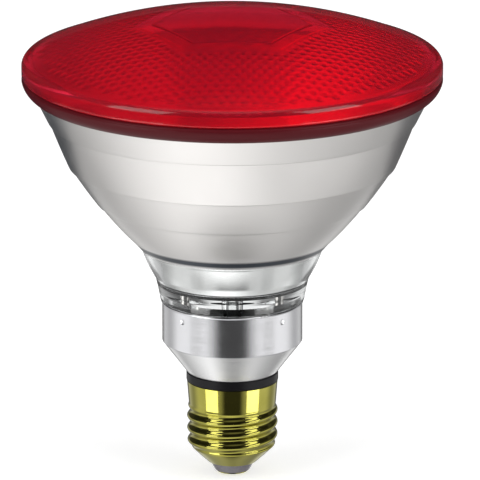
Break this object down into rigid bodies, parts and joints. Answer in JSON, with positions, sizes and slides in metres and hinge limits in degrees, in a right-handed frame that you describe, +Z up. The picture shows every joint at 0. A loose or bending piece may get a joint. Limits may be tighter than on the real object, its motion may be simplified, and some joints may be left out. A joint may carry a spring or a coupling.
{
  "type": "infrared heat lamp bulb",
  "caption": "Reflector heat lamp with a domed red lens, a terraced mirrored glass bowl, a clear neck and a skirted screw cap.",
  "frame": {"origin": "the tip of the solder on the centre contact, on the lamp's axis, which is where a lampholder's centre contact touches it", "axes": "+Z runs up the lamp's axis from the screw cap to the lens; the two lead posts stand on the X axis, and the front of the lamp faces -Y"},
  "size_m": [0.1198, 0.1198, 0.1353],
  "materials": {
    "lens_glass": "ruby-red pressed glass, smooth outside, patterned inside",
    "mirrored_glass": "glass with an aluminium mirror coating inside, satin silver from outside; the neck is left clear",
    "skirt_aluminium": "satin spun sheet",
    "ring_black": "glossy black moulding",
    "cap_brass": "rolled sheet, polished",
    "insulator_glass": "smooth dark grey vitreous insulator",
    "contact_brass": "pressed sheet",
    "solder": "dull grey solder",
    "ferrule_metal": "drawn metal cup",
    "post_metal": "drawn wire",
    "tungsten": "dark grey coiled wire",
    "hook_wire": "thin drawn wire",
    "clear_glass": "clear drawn glass",
    "lead_wire": "drawn wire"
  },
  "bodies": {
    "root": {"lens": "lens_glass", "reflector": "mirrored_glass", "cap_skirt": "skirt_aluminium", "insulating_ring": "ring_black", "screw_shell": "cap_brass", "cap_insulator": "insulator_glass", "centre_contact": "contact_brass", "contact_solder": "solder", "ferrule_left": "ferrule_metal", "ferrule_right": "ferrule_metal", "lead_post_left": "post_metal", "lead_post_right": "post_metal", "filament": "tungsten", "filament_hook_left": "hook_wire", "filament_hook_right": "hook_wire", "support_bridge": "clear_glass", "exhaust_tube": "clear_glass", "contact_lead": "lead_wire", "fuse_sleeve": "clear_glass", "shell_lead": "lead_wire", "shell_solder": "solder"}
  },
  "joints": []
}
